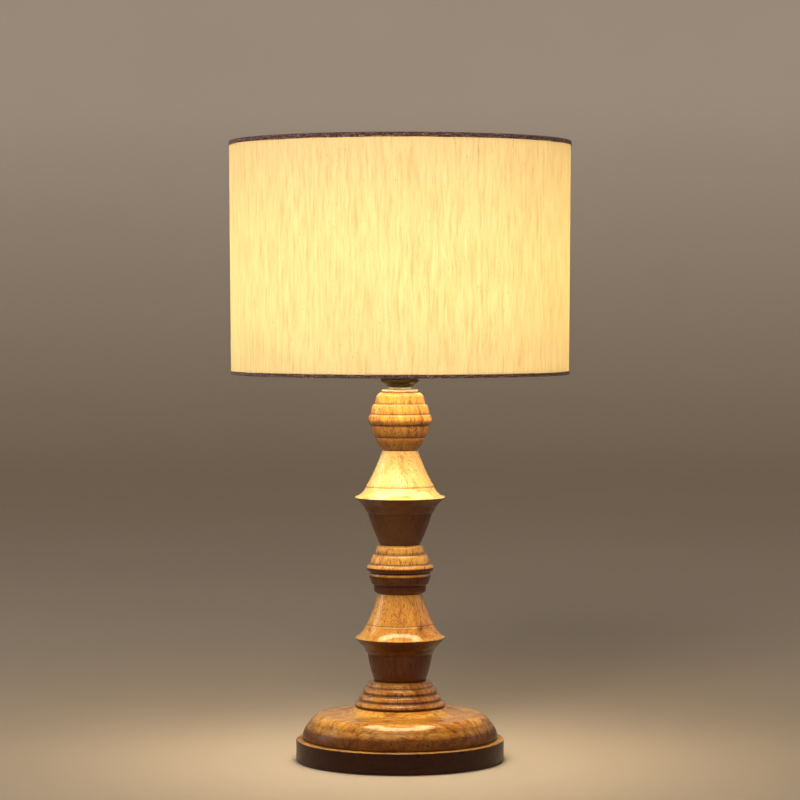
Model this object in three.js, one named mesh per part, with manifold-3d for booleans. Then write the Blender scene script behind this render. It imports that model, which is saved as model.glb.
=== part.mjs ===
// Table lamp with a turned wooden baluster base and a drum shade.
//
// Units are millimetres and +Z is up. The origin is the centre of the underside of the felt
// pad, so the lamp stands on the plane Z = 0. The cord outlet is at the back, on +Y.
//
// The lamp is held together by one hollow threaded rod. From the bottom up the rod carries a
// nut and a washer in the recess of the plinth, seven turned wooden pieces, a flange washer, a
// locknut and the cap of the lamp holder. The shade hangs on the holder by its fitter ring.

import * as THREE from 'three';
import { mergeVertices } from 'three/addons/utils/BufferGeometryUtils.js';
import Module from 'manifold-3d';

const wasm = await Module();
wasm.setup();

// ---------------------------------------------------------------- driving dimensions

const overallHeight = 460;        // underside of the felt to the top hem of the shade
const clearance = 0.3;            // left between pieces that touch on the real lamp
const outlineTolerance = 0.4;     // how far a facet may cut inside a rounded outline

const feltThickness = 0.8;
const feltRadius = 76.4;

const plinthRadius = 77.3;
const plinthHeight = 15.1;
const plinthRecessRadius = 26;    // pocket underneath, for the nut and the cord
const plinthRecessDepth = 10.4;
const cordChannelRadius = 4.6;
const cordAxisHeight = 8.6;       // above the floor

const domeHeight = 23.4;
const footCollarHeight = 19.5;
const lowerSpoolHeight = 64.6;
const middleBeadHeight = 35.8;
const upperSpoolHeight = 70.0;
const topBeadHeight = 42.7;

const rodRadius = 5;              // M10 lamp pipe
const rodBoreRadius = 3.6;
const rodBoreInWood = 5.6;
const rodFoot = 3.5;
const rodTop = 286.5;

const flangeWasherRadius = 13.6;
const flangeWasherThickness = 1.9;
const locknutRadius = 8.2;
const locknutThickness = 1.5;

const holderCapHeight = 13.7;
const holderRadius = 19.6;        // body of an E27 lamp holder
const holderThreadRadius = 19.4;
const holderBoreRadius = 16.4;
const holderShoulderRadius = 24;
const holderShoulderHeight = 9;   // above the lower edge of the holder shell
const holderShoulderThickness = 2.2;
const holderShellHeight = 29.7;

const bulbRadius = 22.5;          // golf-ball lamp, 45 mm across
const bulbThreadRadius = 13.1;
const bulbCentreHeight = 346;

const shadeHeight = 172.5;
const shadeTopRadius = 127;       // ten inches across
const shadeBottomRadius = 125.8;
const fabricThickness = 0.7;
const linerThickness = 0.8;
const hemThickness = 0.8;
const topHemHeight = 3.4;
const bottomHemHeight = 2.6;
const hemFoldHeight = 2.2;        // the part of a hem that is folded down inside
const wireRadius = 1.5;
const spokeRadius = 1.2;
const spokeCount = 3;
const fitterRingRadius = 28;
const fitterRingBore = 20.2;
const fitterRingThickness = 1.5;

// segments round a turned piece, by the size of the piece
const plinthSegments = 40;
const collarSegments = 32;
const stemSegments = 24;
const shadeSegments = 40;
const holderSegments = 20;
const smallSegments = 16;

// ---------------------------------------------------------------- heights worked out

const plinthFoot = feltThickness + clearance;
const plinthTop = plinthFoot + plinthHeight;
const domeFoot = plinthTop + clearance;
const footCollarFoot = domeFoot + domeHeight + clearance;
const lowerSpoolFoot = footCollarFoot + footCollarHeight + clearance;
const middleBeadFoot = lowerSpoolFoot + lowerSpoolHeight + clearance;
const upperSpoolFoot = middleBeadFoot + middleBeadHeight + clearance;
const topBeadFoot = upperSpoolFoot + upperSpoolHeight + clearance;
const flangeWasherFoot = topBeadFoot + topBeadHeight + clearance;
const locknutFoot = flangeWasherFoot + flangeWasherThickness + clearance;
const holderCapFoot = locknutFoot + locknutThickness + clearance;
const holderShellFoot = holderCapFoot + holderCapHeight + clearance;
const shoulderTop = holderShellFoot + holderShoulderHeight + holderShoulderThickness;
const fitterRingFoot = shoulderTop + clearance;
const shadeRingFoot = fitterRingFoot + fitterRingThickness + clearance;
const shadeFoot = overallHeight - shadeHeight;

// ---------------------------------------------------------------- materials

function finish(colour, roughness, metalness) {
  return new THREE.MeshStandardMaterial({ color: colour, roughness, metalness });
}

const honeyWood = () => finish(0xc98a3c, 0.32, 0);
const paleWood = () => finish(0xe2b265, 0.32, 0);
const darkWood = () => finish(0x4a2410, 0.3, 0);
const felt = () => finish(0x241710, 0.95, 0);
const rubber = () => finish(0x161412, 0.7, 0);
const zincSteel = () => finish(0xb9b4a8, 0.38, 1);
const nickel = () => finish(0xe8dcc4, 0.25, 1);
const brass = () => finish(0xb58a4a, 0.3, 1);
const agedBrass = () => finish(0x5c4526, 0.4, 0.9);
const porcelain = () => finish(0xe9e4da, 0.35, 0);
const whiteWire = () => finish(0xdad5cb, 0.45, 0.2);
const opalGlass = () => finish(0xfff1cf, 0.25, 0);
const clearGlass = () => finish(0xdfe6e6, 0.1, 0);
const tungsten = () => finish(0xffb454, 0.4, 1);
const blackGlass = () => finish(0x1b1714, 0.25, 0);
const styrene = () => finish(0xf3ead6, 0.5, 0);
const shadeCotton = () => finish(0xf4dfb4, 0.9, 0);
const hemCotton = () => finish(0xb89a7c, 0.9, 0);

// ---------------------------------------------------------------- outlines

// An outline is a list of [radius, height, bulge]. The bulge belongs to the stretch that
// starts at the point: the height of the arc over half its chord, positive away from the axis
// on a stretch that goes up, and left out on a straight stretch.

function arcPoints([r0, z0], [r1, z1], bulge) {
  const chord = Math.hypot(r1 - r0, z1 - z0);
  const rise = Math.abs(bulge) * chord / 2;
  const steps = Math.max(1, Math.ceil(Math.sqrt(rise / outlineTolerance)));
  if (!bulge || steps === 1) {
    return [[r0, z0]];
  }
  const turn = 4 * Math.atan(Math.abs(bulge));
  const radius = chord / 2 / Math.sin(turn / 2);
  const side = Math.sign(bulge);
  const offset = side * radius * Math.cos(turn / 2) / chord;
  const centreR = (r0 + r1) / 2 - (z1 - z0) * offset;
  const centreZ = (z0 + z1) / 2 + (r1 - r0) * offset;
  const start = Math.atan2(z0 - centreZ, r0 - centreR);
  const points = [];
  for (let step = 0; step < steps; step += 1) {
    const angle = start + side * turn * step / steps;
    points.push([centreR + radius * Math.cos(angle), centreZ + radius * Math.sin(angle)]);
  }
  return points;
}

function outlinePoints(outline) {
  const points = [];
  outline.forEach(([r, z, bulge = 0], index) => {
    const next = outline[index + 1];
    points.push(...(next ? arcPoints([r, z], next, bulge) : [[r, z]]));
  });
  return points;
}

// ---------------------------------------------------------------- solids

const lamp = new THREE.Group();

function addMesh(name, geometry, material, parent = lamp) {
  const mesh = new THREE.Mesh(geometry, material);
  mesh.name = name;
  parent.add(mesh);
  return mesh;
}

// Revolves a list of [radius, height] round Z. The list goes up the outside of the section,
// and it is closed on itself unless it starts and ends on the axis.
function revolve(points, segments) {
  const section = points.map(([r, z]) => new THREE.Vector2(r, z));
  const onAxis = points[0][0] === 0 && points.at(-1)[0] === 0;
  if (!onAxis) {
    section.push(section[0].clone());
  }
  const geometry = new THREE.LatheGeometry(section, segments);
  geometry.rotateX(Math.PI / 2);
  return geometry;
}

// A turned piece with a straight hole along its axis.
function turnedPiece(outline, height, bore, segments) {
  const outside = outlinePoints(outline);
  return revolve([...outside, [bore, height], [bore, 0]], segments);
}

function plainRing(inner, outer, height, segments) {
  return revolve([[inner, 0], [outer, 0], [outer, height], [inner, height]], segments);
}

function rodBetween(start, end, radius, sides) {
  const axis = end.clone().sub(start);
  const geometry = new THREE.CylinderGeometry(radius, radius, axis.length(), sides);
  const up = new THREE.Vector3(0, 1, 0);
  const turn = new THREE.Quaternion().setFromUnitVectors(up, axis.clone().normalize());
  const middle = start.clone().add(end).multiplyScalar(0.5);
  geometry.applyQuaternion(turn);
  geometry.translate(middle.x, middle.y, middle.z);
  return geometry;
}

function toSolid(geometry) {
  const bare = geometry.clone();
  bare.deleteAttribute('normal');
  bare.deleteAttribute('uv');
  const merged = mergeVertices(bare, 1e-4);
  return new wasm.Manifold(new wasm.Mesh({
    numProp: 3,
    vertProperties: new Float32Array(merged.attributes.position.array),
    triVerts: new Uint32Array(merged.index.array),
  }));
}

function fromSolid(solid) {
  const { vertProperties, triVerts } = solid.getMesh();
  const geometry = new THREE.BufferGeometry();
  geometry.setAttribute('position', new THREE.BufferAttribute(vertProperties, 3));
  geometry.setIndex(new THREE.BufferAttribute(triVerts, 1));
  return geometry;
}

// ---------------------------------------------------------------- wooden pieces

function addPlinth() {
  const edge = 0.6;
  const body = revolve([
    [plinthRadius, 0],
    [plinthRadius, plinthHeight - edge],
    [plinthRadius - edge, plinthHeight],
    [rodBoreInWood, plinthHeight],
    [rodBoreInWood, plinthRecessDepth],
    [plinthRecessRadius, plinthRecessDepth],
    [plinthRecessRadius, 0],
  ], plinthSegments);
  const channel = rodBetween(
    new THREE.Vector3(0, plinthRecessRadius - 4, cordAxisHeight - plinthFoot),
    new THREE.Vector3(0, plinthRadius + 4, cordAxisHeight - plinthFoot),
    cordChannelRadius,
    16,
  );
  const drilled = fromSolid(toSolid(body).subtract(toSolid(channel)));
  addMesh('plinth', drilled, darkWood()).position.z = plinthFoot;
}

function addTurned(name, outline, height, foot, segments, material) {
  const geometry = turnedPiece(outline, height, rodBoreInWood, segments);
  addMesh(name, geometry, material).position.z = foot;
}

const domeOutline = [
  [72.0, 0, 0.1], [72.4, 2.9, 0.16], [67.6, 11.9, 0.16], [60.4, 18.0, 0.14],
  [50.0, 18.7, 0.03], [40.0, 19.9, -0.12], [33.6, domeHeight],
];

// four rounded rings, each smaller than the one below
const footCollarOutline = [
  [32.4, 0, 0.35], [34.0, 1.8, 0.35], [30.7, 4.6, -0.4],
  [30.5, 5.8, 0.35], [27.9, 9.6, -0.4],
  [27.6, 11.0, 0.35], [24.9, 15.0, -0.4],
  [24.4, 16.0, 0.3], [20.6, footCollarHeight],
];

// a cup that flares to a sharp disc, and a waisted cone on top of it
const lowerSpoolOutline = [
  [19.4, 0], [19.6, 1.0, 0.05], [24.2, 20.0, 0.1], [26.4, 23.6], [33.2, 30.8, 0.5],
  [32.8, 32.4, -0.18], [25.4, 41.0, -0.5], [24.8, 42.2, -0.06], [16.5, lowerSpoolHeight],
];

// rings that grow to the middle one and shrink again
const middleBeadOutline = [
  [17.2, 0, 0.3], [19.4, 2.1], [19.4, 5.9, -0.2], [20.8, 6.7, 0.04], [22.8, 12.1, 0.08],
  [22.4, 15.3, -0.5], [23.4, 16.1, 0.3], [25.0, 18.7, 0.35], [23.4, 21.3, -0.5],
  [22.1, 22.7, 0.15], [19.8, 28.5, -0.4], [18.2, 29.5, 0.1], [17.6, 33.3, 0.3],
  [15.0, middleBeadHeight],
];

const upperSpoolOutline = [
  [15.0, 0], [15.4, 1.0, 0.04], [24.0, 23.4, 0.1], [26.0, 26.4, -0.12], [33.4, 34.4, 0.5],
  [33.0, 35.8, -0.22], [25.7, 42.4, -0.5], [25.2, 43.6, -0.055], [13.2, upperSpoolHeight],
];

// a beehive of five rings
const topBeadOutline = [
  [13.0, 0, 0.12], [18.6, 8.9, -0.6], [19.3, 10.1, 0.12], [21.8, 18.1, -0.6],
  [22.8, 19.1, 0.12], [23.8, 22.5, 0.05], [22.8, 26.0, -0.5], [22.0, 26.9, 0.08],
  [20.3, 33.9, -0.5], [18.8, 34.7, 0.06], [17.7, 39.1, 0.25], [15.6, 42.1, 0.1],
  [14.5, topBeadHeight],
];

function addWood() {
  addPlinth();
  addTurned('base_dome', domeOutline, domeHeight, domeFoot, plinthSegments, honeyWood());
  addTurned('foot_collar', footCollarOutline, footCollarHeight, footCollarFoot,
    collarSegments, honeyWood());
  addTurned('lower_spool', lowerSpoolOutline, lowerSpoolHeight, lowerSpoolFoot,
    stemSegments, honeyWood());
  addTurned('middle_bead', middleBeadOutline, middleBeadHeight, middleBeadFoot,
    stemSegments, honeyWood());
  addTurned('upper_spool', upperSpoolOutline, upperSpoolHeight, upperSpoolFoot,
    stemSegments, paleWood());
  addTurned('top_bead', topBeadOutline, topBeadHeight, topBeadFoot,
    stemSegments, paleWood());
}

// ---------------------------------------------------------------- rod and its fittings

function addFelt() {
  const pad = revolve([[0, 0], [feltRadius, 0], [feltRadius, feltThickness],
    [0, feltThickness]], plinthSegments);
  addMesh('felt_pad', pad, felt());
}

function addHexNut(name, acrossFlats, thickness, bore, foot) {
  const outline = new THREE.Shape();
  const cornerRadius = acrossFlats / 2 / Math.cos(Math.PI / 6);
  for (let corner = 0; corner < 6; corner += 1) {
    const angle = corner * Math.PI / 3;
    const x = cornerRadius * Math.cos(angle);
    const y = cornerRadius * Math.sin(angle);
    if (corner === 0) {
      outline.moveTo(x, y);
    } else {
      outline.lineTo(x, y);
    }
  }
  outline.closePath();
  const hole = new THREE.Path();
  hole.absarc(0, 0, bore, 0, 2 * Math.PI, true);
  outline.holes.push(hole);
  const geometry = new THREE.ExtrudeGeometry(outline,
    { depth: thickness, bevelEnabled: false, curveSegments: 12 });
  addMesh(name, geometry, zincSteel()).position.z = foot;
}

function addRodFittings() {
  const rod = plainRing(rodBoreRadius, rodRadius, rodTop - rodFoot, smallSegments);
  addMesh('threaded_rod', rod, zincSteel()).position.z = rodFoot;

  const recessCeiling = plinthFoot + plinthRecessDepth;
  const washerThickness = 1.5;
  const washerFoot = recessCeiling - clearance - washerThickness;
  const washer = plainRing(rodBoreInWood, 17, washerThickness, smallSegments);
  addMesh('bottom_washer', washer, zincSteel()).position.z = washerFoot;

  const nutThickness = 4.5;
  addHexNut('bottom_nut', 15, nutThickness, rodRadius + clearance,
    washerFoot - clearance - nutThickness);

  const flange = plainRing(rodBoreInWood, flangeWasherRadius, flangeWasherThickness,
    stemSegments);
  addMesh('flange_washer', flange, nickel()).position.z = flangeWasherFoot;

  const locknut = plainRing(rodRadius + clearance, locknutRadius, locknutThickness, smallSegments);
  addMesh('locknut', locknut, nickel()).position.z = locknutFoot;
}

// A bush that lines the cord hole, with a flange outside the plinth.
function addCordGrommet() {
  const bore = 3.8;
  const sleeveRadius = cordChannelRadius - clearance;
  const sleeveLength = 9;
  const flangeRadius = 6;
  const flangeThickness = 1.4;
  const grommet = revolve([
    [bore, 0],
    [sleeveRadius, 0],
    [sleeveRadius, sleeveLength],
    [flangeRadius, sleeveLength],
    [flangeRadius, sleeveLength + flangeThickness * 0.6],
    [flangeRadius - 1, sleeveLength + flangeThickness],
    [bore, sleeveLength + flangeThickness],
  ], 16);
  grommet.rotateX(-Math.PI / 2);
  const mesh = addMesh('cord_grommet', grommet, rubber());
  mesh.position.set(0, plinthRadius + clearance - sleeveLength, cordAxisHeight);
}

// ---------------------------------------------------------------- lamp holder

function addHolder() {
  const capOutline = [
    [8.8, 0, 0.2], [10.1, 0.7], [10.3, 1.7, 0.1], [13.5, 3.9, 0.1], [14.2, 5.9, 0.1],
    [holderRadius, 12.2], [holderRadius, holderCapHeight],
  ];
  const cap = revolve([
    ...outlinePoints(capOutline),
    [17.6, holderCapHeight], [17.6, 11.5], [12.2, 6.6],
    [rodRadius + clearance, 6.6], [rodRadius + clearance, 0],
  ], holderSegments);
  addMesh('holder_cap', cap, agedBrass()).position.z = holderCapFoot;

  const shoulderFoot = holderShoulderHeight;
  const shoulderRise = shoulderFoot + holderShoulderThickness;
  const lipThickness = 1.4;
  const lipBore = 15.2;
  const shell = revolve([
    [holderRadius, 0],
    [holderRadius, shoulderFoot],
    [holderShoulderRadius, shoulderFoot],
    [holderShoulderRadius, shoulderRise],
    [holderThreadRadius, shoulderRise],
    [holderThreadRadius, holderShellHeight],
    [lipBore, holderShellHeight],
    [lipBore, holderShellHeight - lipThickness],
    [holderBoreRadius, holderShellHeight - lipThickness],
    [holderBoreRadius, 0],
  ], holderSegments);
  addMesh('holder_shell', shell, brass()).position.z = holderShellFoot;

  const insulatorFoot = 288.4;
  const insulatorRadius = 15.7;
  const contactFloor = 8.6;
  const wallTop = 14.6;
  const insulator = revolve([
    [0, 0], [13.5, 0], [insulatorRadius, 2.2], [insulatorRadius, wallTop],
    [14.6, wallTop], [14.6, contactFloor], [0, contactFloor],
  ], holderSegments);
  addMesh('holder_insulator', insulator, porcelain()).position.z = insulatorFoot;

  const screwShell = plainRing(13.5, 14.1, 22.2, holderSegments);
  addMesh('screw_shell', screwShell, brass()).position.z =
    insulatorFoot + contactFloor + 2 * clearance;

  addCentreContact(insulatorFoot + contactFloor + clearance);
  [-1, 1].forEach((side, index) => {
    const headHeight = 2.4;
    const screw = new THREE.CylinderGeometry(1.8, 1.8, headHeight, 10);
    screw.rotateX(Math.PI / 2);
    const mesh = addMesh(`terminal_screw_${index + 1}`, screw, brass());
    mesh.position.set(side * 9, 0, insulatorFoot - clearance - headHeight / 2);
  });

  const shadeRing = revolve([
    [19.8, 0], [25.5, 0], [25.5, 5.4], [24.3, 7], [19.8, 7],
  ], holderSegments);
  addMesh('shade_ring', shadeRing, brass()).position.z = shadeRingFoot;
}

// A springy brass strip, fixed at one side, that bends up to the middle of the holder.
function addCentreContact(foot) {
  const thickness = 0.5;
  const width = 4;
  const lift = 1.2;
  const strip = new THREE.Shape([
    new THREE.Vector2(-10, 0),
    new THREE.Vector2(-4.5, 0),
    new THREE.Vector2(-2.5, lift),
    new THREE.Vector2(3, lift),
    new THREE.Vector2(3, lift + thickness),
    new THREE.Vector2(-2.8, lift + thickness),
    new THREE.Vector2(-4.8, thickness),
    new THREE.Vector2(-10, thickness),
  ]);
  const geometry = new THREE.ExtrudeGeometry(strip, { depth: width, bevelEnabled: false });
  geometry.translate(0, 0, -width / 2);
  geometry.rotateX(Math.PI / 2);
  addMesh('centre_contact', geometry, brass()).position.z = foot;
}

// ---------------------------------------------------------------- bulb

function addBulb() {
  const capFoot = 301.6;
  const capHeight = 23;
  const wall = 0.6;
  const cap = revolve([
    [8.6, 0],
    [bulbThreadRadius, 2.8],
    [bulbThreadRadius, capHeight],
    [bulbThreadRadius - wall, capHeight],
    [bulbThreadRadius - wall, 3.1],
    [8.6, 0.8],
  ], holderSegments);
  addMesh('bulb_cap', cap, nickel()).position.z = capFoot;

  const insulator = revolve([
    [0, 0], [4.4, 0], [8.2, 1.3], [8.2, 2.8], [0, 2.8],
  ], smallSegments);
  addMesh('bulb_insulator', insulator, blackGlass()).position.z = 300.2;

  const contact = revolve([[0, 0], [2.6, 0.1], [3.4, 0.8], [0, 0.8]], smallSegments);
  addMesh('bulb_contact', contact, zincSteel()).position.z = 299.1;

  addBulbGlass(capFoot + capHeight + clearance);
  addFilament();
}

// A ball on a short neck, hollow and open where the cap closes it.
function addBulbGlass(foot) {
  const neckRadius = 12.6;
  const wall = 0.9;
  const steps = 6;
  const ball = (radius, neck) => {
    const start = -Math.acos(neck / radius);
    const points = [];
    for (let step = 0; step <= steps; step += 1) {
      const angle = start + (Math.PI / 2 - start) * step / steps;
      points.push([radius * Math.cos(angle), bulbCentreHeight + radius * Math.sin(angle)]);
    }
    points.at(-1)[0] = 0;
    return points;
  };
  const outside = [[neckRadius, foot], ...ball(bulbRadius, neckRadius)];
  const inside = [[neckRadius - wall, foot], ...ball(bulbRadius - wall, neckRadius - wall)];
  const glass = revolveThroughAxis(outside, inside.reverse());
  addMesh('bulb_glass', glass, opalGlass());
}

// A shell whose section crosses the axis: up the outside to the axis, and back down inside.
function revolveThroughAxis(outside, inside) {
  const section = [...outside, ...inside, outside[0]];
  const geometry = new THREE.LatheGeometry(
    section.map(([r, z]) => new THREE.Vector2(r, z)), holderSegments);
  geometry.rotateX(Math.PI / 2);
  return geometry;
}

// The glass mount stands in the neck, and two support wires hold the filament above it.
function addFilament() {
  const mountFoot = 325;
  const mountTop = 338;
  const mount = revolve([
    [0, 0], [5.5, 0], [4.2, 4], [2.6, 6], [2.6, mountTop - mountFoot], [0, mountTop - mountFoot],
  ], 12);
  addMesh('filament_mount', mount, clearGlass()).position.z = mountFoot;

  const filamentReach = 9;
  const filamentHeight = 347;
  const wireThickness = 0.4;
  [-1, 1].forEach((side, index) => {
    const wire = rodBetween(
      new THREE.Vector3(side * 1.4, 0, mountTop + clearance),
      new THREE.Vector3(side * filamentReach, 0, filamentHeight - 1),
      wireThickness,
      6,
    );
    addMesh(`support_wire_${index + 1}`, wire, zincSteel());
  });

  const arch = new THREE.QuadraticBezierCurve3(
    new THREE.Vector3(-filamentReach, 0, filamentHeight),
    new THREE.Vector3(0, 0, filamentHeight + 5),
    new THREE.Vector3(filamentReach, 0, filamentHeight),
  );
  const section = new THREE.Shape();
  section.absarc(0, 0, 0.5, 0, 2 * Math.PI, false);
  const coil = new THREE.ExtrudeGeometry(section,
    { extrudePath: arch, steps: 8, curveSegments: 3, bevelEnabled: false });
  addMesh('filament', coil, tungsten());
}

// ---------------------------------------------------------------- shade

// Outer radius of the shade at a height above its lower edge.
function shadeRadiusAt(height) {
  return shadeBottomRadius + (shadeTopRadius - shadeBottomRadius) * height / shadeHeight;
}

const linerDepth = clearance + fabricThickness + clearance;   // from the hem face to the liner
const wireDepth = linerDepth + linerThickness + clearance + wireRadius;
const foldDepth = wireDepth + wireRadius + clearance;
const wireInset = hemThickness + clearance + wireRadius;      // wire centre from the shade's edge

// A wall that follows the taper, set in from the hem face by the given depth.
function taperedWall(depth, thickness, foot, top) {
  const outsideFoot = shadeRadiusAt(foot) - depth;
  const outsideTop = shadeRadiusAt(top) - depth;
  return revolve([
    [outsideFoot, foot],
    [outsideTop, top],
    [outsideTop - thickness, top],
    [outsideFoot - thickness, foot],
  ], shadeSegments);
}

// Cloth folded over a wire ring. The section is a hook that opens into the shade.
function hem(edgeRadius, faceHeight, isTop) {
  const foldFace = edgeRadius - foldDepth;
  const section = [
    [edgeRadius, 0],
    [edgeRadius, faceHeight],
    [edgeRadius - hemThickness, faceHeight],
    [edgeRadius - hemThickness, hemThickness],
    [foldFace, hemThickness],
    [foldFace, hemFoldHeight],
    [foldFace - hemThickness, hemFoldHeight],
    [foldFace - hemThickness, 0],
  ];
  if (!isTop) {
    return revolve(section, shadeSegments);
  }
  return revolve(section.map(([r, z]) => [r, -z]).reverse(), shadeSegments);
}

function wireRing(edgeRadius) {
  const centre = edgeRadius - wireDepth;
  const sides = 6;
  const section = [];
  for (let side = 0; side < sides; side += 1) {
    const angle = 2 * Math.PI * side / sides;
    section.push([centre + wireRadius * Math.cos(angle), wireRadius * Math.sin(angle)]);
  }
  return revolve(section, shadeSegments);
}

function addShade() {
  const shade = new THREE.Group();
  shade.position.z = shadeFoot;
  lamp.add(shade);

  const linerInset = hemThickness + clearance;
  const liner = taperedWall(linerDepth, linerThickness, linerInset, shadeHeight - linerInset);
  addMesh('shade_liner', liner, styrene(), shade);

  const fabric = taperedWall(clearance, fabricThickness,
    bottomHemHeight + clearance, shadeHeight - topHemHeight - clearance);
  addMesh('shade_fabric', fabric, shadeCotton(), shade);

  addMesh('bottom_hem', hem(shadeBottomRadius, bottomHemHeight, false), hemCotton(), shade);
  addMesh('top_hem', hem(shadeTopRadius, topHemHeight, true), hemCotton(), shade)
    .position.z = shadeHeight;

  addMesh('bottom_wire_ring', wireRing(shadeBottomRadius), whiteWire(), shade)
    .position.z = wireInset;
  addMesh('top_wire_ring', wireRing(shadeTopRadius), whiteWire(), shade)
    .position.z = shadeHeight - wireInset;

  const fitter = plainRing(fitterRingBore, fitterRingRadius, fitterRingThickness,
    holderSegments);
  addMesh('fitter_ring', fitter, whiteWire()).position.z = fitterRingFoot;
  addSpokes();
}

// Straight spokes that fall from the fitter ring to the lower wire ring.
function addSpokes() {
  const ringEdge = shadeBottomRadius - wireDepth - wireRadius;
  const innerReach = fitterRingRadius + 2 * clearance;
  const outerReach = ringEdge - clearance - 0.1;
  const innerHeight = fitterRingFoot + fitterRingThickness / 2;
  const outerHeight = shadeFoot + wireInset + 1.8;
  for (let spoke = 0; spoke < spokeCount; spoke += 1) {
    const angle = Math.PI / 2 + spoke * 2 * Math.PI / spokeCount;
    const direction = new THREE.Vector3(Math.cos(angle), Math.sin(angle), 0);
    const start = direction.clone().multiplyScalar(innerReach).setZ(innerHeight);
    const end = direction.clone().multiplyScalar(outerReach).setZ(outerHeight);
    addMesh(`spoke_${spoke + 1}`, rodBetween(start, end, spokeRadius, 8), whiteWire());
  }
}

// ---------------------------------------------------------------- assembly

addFelt();
addWood();
addRodFittings();
addCordGrommet();
addHolder();
addBulb();
addShade();

export default lamp;
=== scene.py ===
import math

import bpy
import numpy as np
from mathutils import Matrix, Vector


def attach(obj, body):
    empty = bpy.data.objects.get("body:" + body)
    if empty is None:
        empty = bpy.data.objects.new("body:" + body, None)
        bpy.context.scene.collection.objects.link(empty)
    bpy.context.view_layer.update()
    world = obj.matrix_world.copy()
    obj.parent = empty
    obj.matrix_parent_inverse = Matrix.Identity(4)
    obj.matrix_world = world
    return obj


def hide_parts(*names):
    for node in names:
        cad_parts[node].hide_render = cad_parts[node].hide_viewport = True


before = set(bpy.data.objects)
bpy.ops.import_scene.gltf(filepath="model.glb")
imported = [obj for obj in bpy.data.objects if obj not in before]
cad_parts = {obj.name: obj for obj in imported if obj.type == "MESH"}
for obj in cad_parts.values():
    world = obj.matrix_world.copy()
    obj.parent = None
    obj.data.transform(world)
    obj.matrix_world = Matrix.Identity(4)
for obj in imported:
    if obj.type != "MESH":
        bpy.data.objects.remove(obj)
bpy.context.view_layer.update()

# Table lamp with a turned wooden base and a lit drum shade.
#
# Sizes are written in millimetres, as in the CAD, and made into metres where a mesh is built.
# The lamp stands on z = 0 and the camera looks along +Y. An outline is a list of
# (radius, height above the piece's foot, bulge), where bulge is how far the next stretch bows
# out, as a share of half its chord.

MM = 0.001
FULL_TURN = 2 * math.pi
FACET_TURN = math.radians(6)     # the most that a section turns between its points

# ---- sizes

ROD_BORE = 5.6                   # hole through the wood for the threaded rod
ROD_RADIUS = 5.0
ROD_INNER = 3.6
ROD_CLEARANCE = 0.3              # of the nuts and the holder's cap, round the rod

PLINTH = {"foot": 1.1, "radius": 77.3, "height": 15.1, "recess": 26.0, "recess_depth": 10.4}
CORD_HEIGHT = 8.6                # middle of the cord's channel, above the table
CORD_CHANNEL = 4.6               # its radius
FELT_RADIUS = 76.4
FELT_THICKNESS = 0.8

# Each turned piece's foot above the table, and its outline.
TURNED = {
    "base_dome": (16.5, [
        (71.4, 0, .3), (72.0, .7, .1), (72.4, 2.9, .16), (67.6, 11.9, .16), (60.4, 18.0, .04),
        (50.0, 18.7, -.04), (40.0, 19.9, -.1), (33.6, 23.4)]),
    "foot_collar": (40.2, [
        (32.4, 0, .35), (34.0, 1.8, .35), (30.7, 4.6, -.4), (30.5, 5.8, .35),
        (27.9, 9.6, -.4), (27.6, 11.0, .35), (24.9, 15.0, -.4), (24.4, 16.0, .3),
        (20.6, 19.5)]),
    "lower_spool": (60.0, [
        (19.4, 0), (19.6, 1.0, .05), (24.2, 20.0, .1), (26.4, 23.6), (33.2, 30.8, .5),
        (32.8, 32.4, -.18), (25.4, 41.0, -.5), (24.8, 42.2, -.06), (16.5, 64.6)]),
    "middle_bead": (124.9, [
        (17.2, 0, .3), (19.4, 2.1), (19.4, 5.9, -.2), (20.8, 6.7, .04), (22.8, 12.1, .08),
        (22.4, 15.3, -.5), (23.4, 16.1, .3), (25.0, 18.7, .35), (23.4, 21.3, -.5),
        (22.1, 22.7, .15), (19.8, 28.5, -.4), (18.2, 29.5, .1), (17.6, 33.3, .3),
        (15.0, 35.8)]),
    "upper_spool": (161.0, [
        (15.0, 0), (15.4, 1.0, .04), (24.0, 23.4, .1), (26.0, 26.4, -.12), (33.4, 34.4, .5),
        (33.0, 35.8, -.22), (25.7, 42.4, -.5), (25.2, 43.6, -.055), (13.2, 70.0)]),
    "top_bead": (231.3, [
        (13.0, 0, .12), (18.6, 8.9, -.6), (19.3, 10.1, .12), (21.8, 18.1, -.6),
        (22.8, 19.1, .12), (23.8, 22.5, .05), (22.8, 26.0, -.5), (22.0, 26.9, .08),
        (20.3, 33.9, -.5), (18.8, 34.7, .06), (17.7, 39.1, .25), (15.6, 42.1, .1),
        (14.5, 42.7)]),
}

SHADE_FOOT = 287.5
SHADE_HEIGHT = 172.5
SHADE_BOTTOM = 125.8
SHADE_TOP = 127.0
WIRE_DEPTH = 3.9                 # centre of a wire ring, in from the face of the hem
WIRE_INSET = 2.6                 # and from the shade's edge
WIRE_RADIUS = 1.5
FOLD_DEPTH = 5.7                 # inner fold of a hem, in from its face
SPOKE_RADIUS = 1.2
FABRIC_COLUMNS = 600
SEAM_ANGLE = math.pi / 2         # the fabric's joint is at the back
FABRIC_LAP = 6                   # columns where the cloth's end lies over its start

BULB_CENTRE = 346.0
BULB_RADIUS = 22.5
THREAD_PITCH = 3.6               # of the lamp holder and the bulb's cap
CAP_THREAD_TURNS = 5             # on the bulb's cap

CAMERA_PLACE = (0.0, -2.190, 0.341)
CAMERA_TILT = 1.9                # degrees down from level
CAMERA_LENS = 132.75

# ---- outlines


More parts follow.
